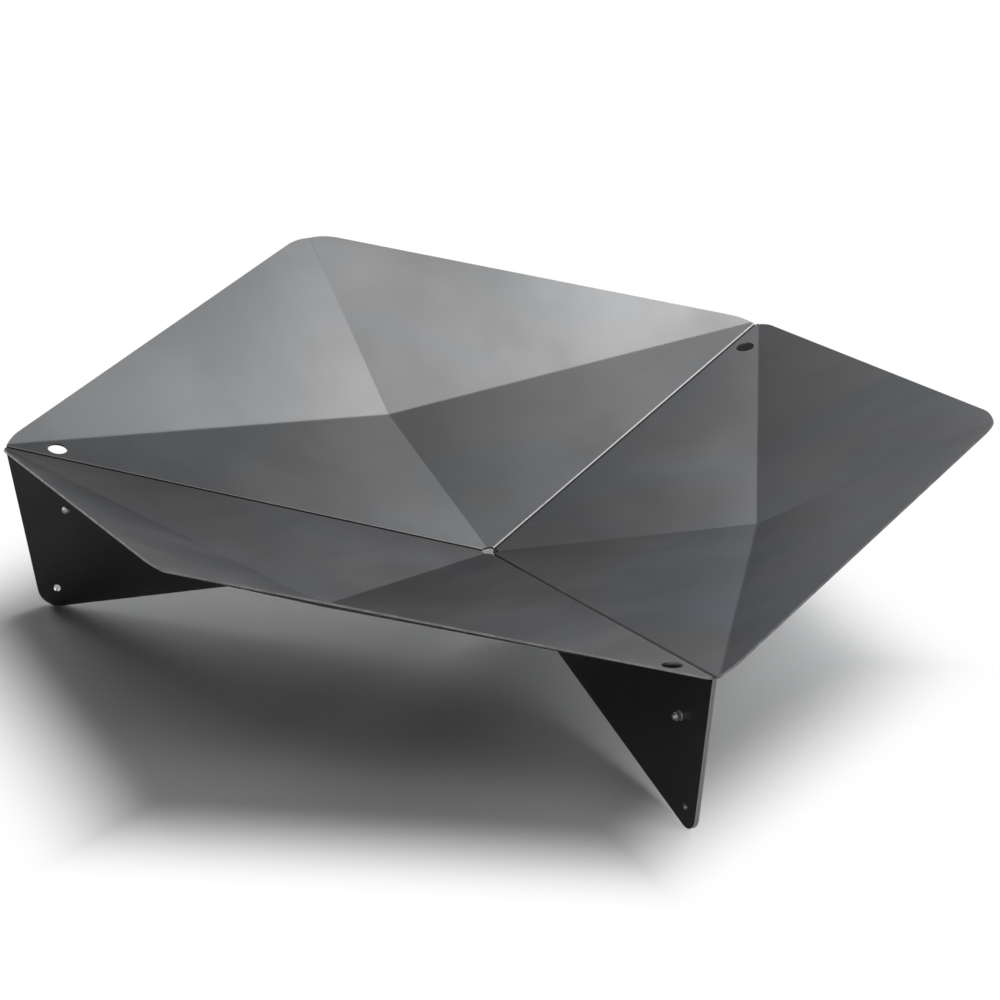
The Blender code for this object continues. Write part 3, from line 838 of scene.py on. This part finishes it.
class Nodes:
    """A small builder for a material's nodes."""

    def __init__(self, name):
        self.material = bpy.data.materials.new(name)
        self.material.use_nodes = True
        self.tree = self.material.node_tree
        self.shader = self.tree.nodes["Principled BSDF"]

    def link(self, source, target):
        self.tree.links.new(source, target)

    def new(self, kind, **settings):
        node = self.tree.nodes.new(kind)
        for key, value in settings.items():
            setattr(node, key, value)
        return node

    def feed(self, socket, value):
        if isinstance(value, bpy.types.NodeSocket):
            self.link(value, socket)
        else:
            socket.default_value = value

    def math(self, operation, first, second=0.0):
        node = self.new("ShaderNodeMath", operation=operation)
        self.feed(node.inputs[0], first)
        self.feed(node.inputs[1], second)
        return node.outputs[0]

    def spread(self, value, low, high, to_low=0.0, to_high=1.0):
        """The value's range from low to high, spread over another range with soft ends."""
        node = self.new("ShaderNodeMapRange", interpolation_type="SMOOTHSTEP")
        self.feed(node.inputs["Value"], value)
        node.inputs["From Min"].default_value = low
        node.inputs["From Max"].default_value = high
        node.inputs["To Min"].default_value = to_low
        node.inputs["To Max"].default_value = to_high
        return node.outputs["Result"]

    def mix(self, share, first, second, blend="MIX"):
        node = self.new("ShaderNodeMix", data_type="RGBA", blend_type=blend)
        self.feed(node.inputs["Factor"], share)
        self.feed(node.inputs[6], first)
        self.feed(node.inputs[7], second)
        return node.outputs[2]

    def mapped(self, vector, place=(0, 0, 0), turn=(0, 0, 0), scale=(1, 1, 1)):
        node = self.new("ShaderNodeMapping")
        self.link(vector, node.inputs["Vector"])
        node.inputs["Location"].default_value = place
        node.inputs["Rotation"].default_value = turn
        node.inputs["Scale"].default_value = scale
        return node.outputs["Vector"]

    def noise(self, vector, scale, detail=2.0, roughness=0.5, distortion=0.0):
        node = self.new("ShaderNodeTexNoise")
        self.link(vector, node.inputs["Vector"])
        node.inputs["Scale"].default_value = scale
        node.inputs["Detail"].default_value = detail
        node.inputs["Roughness"].default_value = roughness
        node.inputs["Distortion"].default_value = distortion
        return node.outputs["Fac"]

    def bump(self, height, distance, below=None):
        node = self.new("ShaderNodeBump")
        self.feed(node.inputs["Height"], height)
        node.inputs["Distance"].default_value = distance
        node.inputs["Strength"].default_value = 1.0
        if below is not None:
            self.link(below, node.inputs["Normal"])
        return node.outputs["Normal"]


# The two tints that each sheet's steel wanders between, and where its pattern is cut from. The right
# sheet's bluer tint is a painted bluish reflection; the rest is the steel's own cloudy tone.
SHEET_STEEL = {
    "right": ((0.088, 0.096, 0.108, 1), (0.101, 0.0985, 0.0985, 1), (0.0, 0.0, 0.0)),
    "back": ((0.0955, 0.0985, 0.102, 1), (0.1005, 0.099, 0.0985, 1), (2.3, 1.1, 0.0)),
    "left": ((0.094, 0.097, 0.102, 1), (0.100, 0.098, 0.098, 1), (5.2, 3.7, 0.0)),
}
WORN_EDGE = (0.22, 0.22, 0.22, 1)
# Painted highlight along a fold's shoulder, beside the groove
PAINTED_SHOULDER_HIGHLIGHT = (0.19, 0.19, 0.19, 1)
# Painted shade in a seam's groove
PAINTED_GROOVE_SHADE = (0.004, 0.004, 0.0045, 1)
GRAZING_TINT = (0.72, 0.72, 0.73, 1)
WORN_REACH = (0.0003, 0.0012)
CUT_STEEL = (0.21, 0.21, 0.215, 1)
CUT_STEEL_BRIGHT = (0.30, 0.295, 0.29, 1)
CUT_STEEL_MARKS = (0.16, 0.16, 0.165, 1)
# Painted highlight on the cut edge of a leg plate's outer half
PAINTED_LEG_EDGE_HIGHLIGHT = (0.55, 0.545, 0.54, 1)
PAINTED_LEG_EDGE_HIGHLIGHT_BRIGHT = (0.70, 0.695, 0.69, 1)

# Painted shade darkens the steel up to the first distance from the axis, and past the second it is painted
# paler
PAINTED_SHADE_REACH = (0.24, 0.46)
PAINTED_SHADE_LEVELS = (-0.13, 0.14)

# Heights of the surfaces' relief
WAVES = 0.0005
ROLLED_GRAIN = 0.000015
FINE_GRAIN = 0.00001
CUT_MARKS = 0.00004
ZINC_PITS = 0.000004

# Zinc plating of each fastener: its colour, the shade between its crystals, and its roughness
ZINC_PLATING = {
    "screw": ((0.88, 0.88, 0.87), (0.74, 0.74, 0.74), 0.26),
    "washer": ((0.80, 0.80, 0.79), (0.66, 0.66, 0.66), 0.38),
    "nut": ((0.86, 0.86, 0.85), (0.72, 0.72, 0.72), 0.3),
}


def sheet_steel(name, bluish, brownish, shift):
    """Dark satin rolled steel: fine grain along the rolling direction, cloudy tint, smears and worn edges.

    It has painted shade in the middle and is painted paler out towards the raised corner.
    """
    steel = Nodes(name)
    blank = steel.new("ShaderNodeAttribute", attribute_name="blank").outputs["Vector"]
    edge = steel.new("ShaderNodeAttribute", attribute_name="cut_edge").outputs["Fac"]
    groove = steel.new("ShaderNodeAttribute", attribute_name="groove").outputs["Fac"]
    blank_for_painted_shade = steel.new("ShaderNodeSeparateXYZ")
    steel.link(blank, blank_for_painted_shade.inputs["Vector"])
    blank = steel.mapped(blank, place=shift)
    grain = steel.noise(steel.mapped(blank, scale=(1, 60, 1)), 14, detail=4, roughness=0.6)
    fine = steel.noise(blank, 900, detail=2)
    clouds = steel.noise(blank, 4.5, detail=3, roughness=0.55, distortion=0.4)
    tint = steel.noise(steel.mapped(blank, place=(3, 5, 0)), 3.1, detail=2, roughness=0.5, distortion=0.6)
    askew = steel.mapped(blank, place=(7, 1, 0), turn=(0, 0, 0.5), scale=(1, 2.4, 1))
    smears = steel.noise(askew, 6, detail=5)
    base = steel.mix(steel.spread(tint, 0.35, 0.65), bluish, brownish)
    level = steel.spread(clouds, 0.3, 0.7, 0.9, 1.1)
    level = steel.math("ADD", level, steel.spread(grain, 0.3, 0.7, -0.025, 0.025))
    level = steel.math("ADD", level, steel.spread(fine, 0.3, 0.7, -0.03, 0.03))
    # Painted shade in the middle of the sheet, painted paler out towards the raised corner
    level = steel.math("ADD", level, steel.spread(blank_for_painted_shade.outputs["X"], *PAINTED_SHADE_REACH, *PAINTED_SHADE_LEVELS))
    shade = steel.new("ShaderNodeCombineColor")
    for socket in shade.inputs[:3]:
        steel.link(level, socket)
    base = steel.mix(1.0, base, shade.outputs[0], blend="MULTIPLY")
    worn = steel.spread(edge, *WORN_REACH, 0.25, 0.0)
    base = steel.mix(worn, base, WORN_EDGE)
    # A painted highlight on the fold's shoulder, where the groove begins
    shoulder_highlight = steel.spread(groove, 0.0, 0.12)
    shoulder_highlight = steel.math("MULTIPLY", shoulder_highlight, steel.spread(groove, 0.12, 0.3, 0.6, 0.0))
    base = steel.mix(shoulder_highlight, base, PAINTED_SHOULDER_HIGHLIGHT)
    # Painted shade deeper in a seam's groove
    base = steel.mix(steel.spread(groove, 0.12, 0.5, 0.0, 0.93), base, PAINTED_GROOVE_SHADE)
    steel.link(base, steel.shader.inputs["Base Color"])
    smeared = steel.spread(smears, 0.4, 0.7, 0.34, 0.39)
    roughness = steel.math("ADD", smeared, steel.spread(grain, 0.3, 0.7, -0.015, 0.015))
    steel.link(roughness, steel.shader.inputs["Roughness"])
    steel.shader.inputs["Metallic"].default_value = 1.0
    steel.shader.inputs["Specular Tint"].default_value = GRAZING_TINT
    waves = steel.bump(steel.noise(blank, 5, detail=1), WAVES)
    rolled = steel.bump(grain, ROLLED_GRAIN, below=waves)
    normal = steel.bump(fine, FINE_GRAIN, below=rolled)
    steel.link(normal, steel.shader.inputs["Normal"])
    return steel.material


def cut_edge_steel():
    """The cut edge of the sheet: brighter bare steel with fine marks across its thickness, and a painted
    highlight on the outer half of each leg plate.
    """
    steel = Nodes("cut_edge_steel")
    blank = steel.new("ShaderNodeAttribute", attribute_name="blank").outputs["Vector"]
    marks = steel.noise(blank, 2600, detail=2)
    patches = steel.noise(blank, 60, detail=2)
    base = steel.mix(steel.spread(patches, 0.35, 0.65), CUT_STEEL, CUT_STEEL_BRIGHT)
    base = steel.mix(steel.spread(marks, 0.35, 0.65, 0.0, 0.4), base, CUT_STEEL_MARKS)
    # The painted highlight on the leg plates' outer cut edges
    leg_edge_highlight = steel.new("ShaderNodeAttribute", attribute_name="leg_edge_highlight").outputs["Fac"]
    base = steel.mix(leg_edge_highlight, base, steel.mix(steel.spread(marks, 0.35, 0.65), PAINTED_LEG_EDGE_HIGHLIGHT, PAINTED_LEG_EDGE_HIGHLIGHT_BRIGHT))
    steel.link(base, steel.shader.inputs["Base Color"])
    steel.link(steel.spread(marks, 0.3, 0.7, 0.36, 0.5), steel.shader.inputs["Roughness"])
    steel.shader.inputs["Metallic"].default_value = 1.0
    steel.link(steel.bump(marks, CUT_MARKS), steel.shader.inputs["Normal"])
    return steel.material


def zinc_steel(name, colour, shade, roughness):
    """Bright zinc plating: cloudy crystals, slight dulling and a fine pitted surface."""
    zinc = Nodes(name)
    place = zinc.new("ShaderNodeTexCoord").outputs["Object"]
    clouds = zinc.noise(place, 420, detail=3, roughness=0.6)
    pits = zinc.noise(place, 4200, detail=2)
    base = zinc.mix(zinc.spread(clouds, 0.35, 0.65), (*shade, 1), (*colour, 1))
    zinc.link(base, zinc.shader.inputs["Base Color"])
    dulled = zinc.spread(clouds, 0.3, 0.7, roughness + 0.08, roughness - 0.04)
    zinc.link(dulled, zinc.shader.inputs["Roughness"])
    zinc.shader.inputs["Metallic"].default_value = 1.0
    zinc.link(zinc.bump(pits, ZINC_PITS), zinc.shader.inputs["Normal"])
    return zinc.material


# Studio

CAMERA_PLACE = (-1.63538, -3.67946, 2.00029)
CAMERA_TURN = (65.5597, -0.30233, -23.9912)
CAMERA_LENS = 132.476
SENSOR_WIDTH = 36
PAPER = (0.945, 0.955, 0.965, 1)
FLOOR_RADIUS = 7.0
FADE_CENTRE = (-0.085, 0.0, 0.0)
FADE_START = 0.415
FADE_END = 0.615
MIRRORED_WALLS = 0.66
MIRRORED_FLOOR = 0.25

# Soft lamps: direction round the bowl, height angle, distance, width, height and brightness of the lit face
SOFTBOXES = {
    "key": (20, 51, 1.9, 0.8, 1.4, 6.2),
    "right": (50, 42, 1.9, 0.8, 0.8, 1.6),
    "low_right": (36, 15, 3.2, 1.3, 1.3, 11.2),
    "low_back": (108, 15, 3.2, 1.3, 1.3, 5.3),
    "overhead": (80, 78, 3.2, 1.3, 1.3, 3.2),
    "front": (-72, 38, 3.2, 1.3, 1.3, 3.2),
}


def seen_strength(tree, in_metal):
    """How bright the surround is: white to the camera, grey where the metal mirrors it, and else dark."""
    path = tree.nodes.new("ShaderNodeLightPath")
    mirrored = tree.nodes.new("ShaderNodeMath")
    mirrored.operation = "MULTIPLY_ADD"
    tree.links.new(path.outputs["Is Glossy Ray"], mirrored.inputs[0])
    mirrored.inputs[1].default_value = in_metal
    tree.links.new(path.outputs["Is Camera Ray"], mirrored.inputs[2])
    return mirrored.outputs[0]


def make_world():
    """A surround that is seen but gives no light of its own: the lamps light the bowl."""
    world = bpy.data.worlds.new("studio")
    bpy.context.scene.world = world
    world.use_nodes = True
    background = world.node_tree.nodes["Background"]
    background.inputs["Color"].default_value = (1, 1, 1, 1)
    strength = seen_strength(world.node_tree, MIRRORED_WALLS)
    world.node_tree.links.new(strength, background.inputs["Strength"])
    world.cycles.sampling_method = "NONE"


def outline_distance(nodes):
    """How far a floor point is out across the bowl's six sides, as the greatest of three distances."""
    place = nodes.mapped(nodes.new("ShaderNodeTexCoord").outputs["Object"], place=[-x for x in FADE_CENTRE])
    furthest = 0.0
    for angle in (0, 60, 120):
        along = nodes.new("ShaderNodeVectorMath", operation="DOT_PRODUCT")
        nodes.link(place, along.inputs[0])
        along.inputs[1].default_value = (cos(radians(angle)), sin(radians(angle)), 0)
        distance = nodes.math("ABSOLUTE", along.outputs["Value"])
        furthest = nodes.math("MAXIMUM", distance, furthest)
    return furthest


def make_floor():
    """A round pale floor that keeps the bowl's shadow and turns plain white past the bowl's outline."""
    ring = np.array([0.0, 0.5, 1.0, 1.6, 2.4, 4.0, FLOOR_RADIUS])[:, None]
    x, y = ring * np.cos(ROUND), ring * np.sin(ROUND)
    points = np.stack([x, y, 0 * x], axis=-1).reshape(-1, 3)
    mesh = merged(mesh_of("floor", points, grid_faces(len(ring), len(ROUND), closed=True)))
    face_up(mesh)
    floor = placed("floor", mesh)
    paper = Nodes("floor_paper")
    paper.shader.inputs["Base Color"].default_value = PAPER
    paper.shader.inputs["Roughness"].default_value = 1.0
    paper.shader.inputs["Specular IOR Level"].default_value = 0.0
    far = paper.spread(outline_distance(paper), FADE_START, FADE_END)
    white = paper.new("ShaderNodeEmission")
    paper.link(seen_strength(paper.tree, MIRRORED_FLOOR), white.inputs["Strength"])
    both = paper.new("ShaderNodeMixShader")
    paper.link(far, both.inputs["Fac"])
    paper.link(paper.shader.outputs[0], both.inputs[1])
    paper.link(white.outputs[0], both.inputs[2])
    paper.link(both.outputs[0], paper.tree.nodes["Material Output"].inputs["Surface"])
    mesh.materials.append(paper.material)


def make_softboxes():
    """Soft lamps that face the bowl's middle."""
    for name, (around, above, distance, width, height, brightness) in SOFTBOXES.items():
        lamp = bpy.data.lights.new(f"softbox_{name}", "AREA")
        lamp.shape = "RECTANGLE"
        lamp.size = height
        lamp.size_y = width
        lamp.energy = brightness * pi * width * height
        holder = placed(f"softbox_{name}", lamp)
        level, rise = radians(around), radians(above)
        holder.location = (
            distance * cos(rise) * cos(level),
            distance * cos(rise) * sin(level),
            distance * sin(rise),
        )
        holder.rotation_euler = (0.0, pi / 2 - rise, level)


def make_camera():
    """The camera at the photograph's place, turn and lens."""
    camera = placed("camera", bpy.data.cameras.new("camera"))
    camera.location = CAMERA_PLACE
    camera.rotation_euler = [radians(turn) for turn in CAMERA_TURN]
    camera.data.lens = CAMERA_LENS
    camera.data.sensor_width = SENSOR_WIDTH
    camera.data.clip_end = 60
    bpy.context.scene.camera = camera


def main():
    steels = {place: sheet_steel(f"sheet_steel_{place}", *looks) for place, looks in SHEET_STEEL.items()}
    make_sheets(steels, cut_edge_steel())
    make_fasteners({kind: zinc_steel(f"{kind}_zinc", *looks) for kind, looks in ZINC_PLATING.items()})
    make_world()
    make_floor()
    make_softboxes()
    make_camera()
    bpy.context.scene.view_settings.view_transform = "Standard"


main()
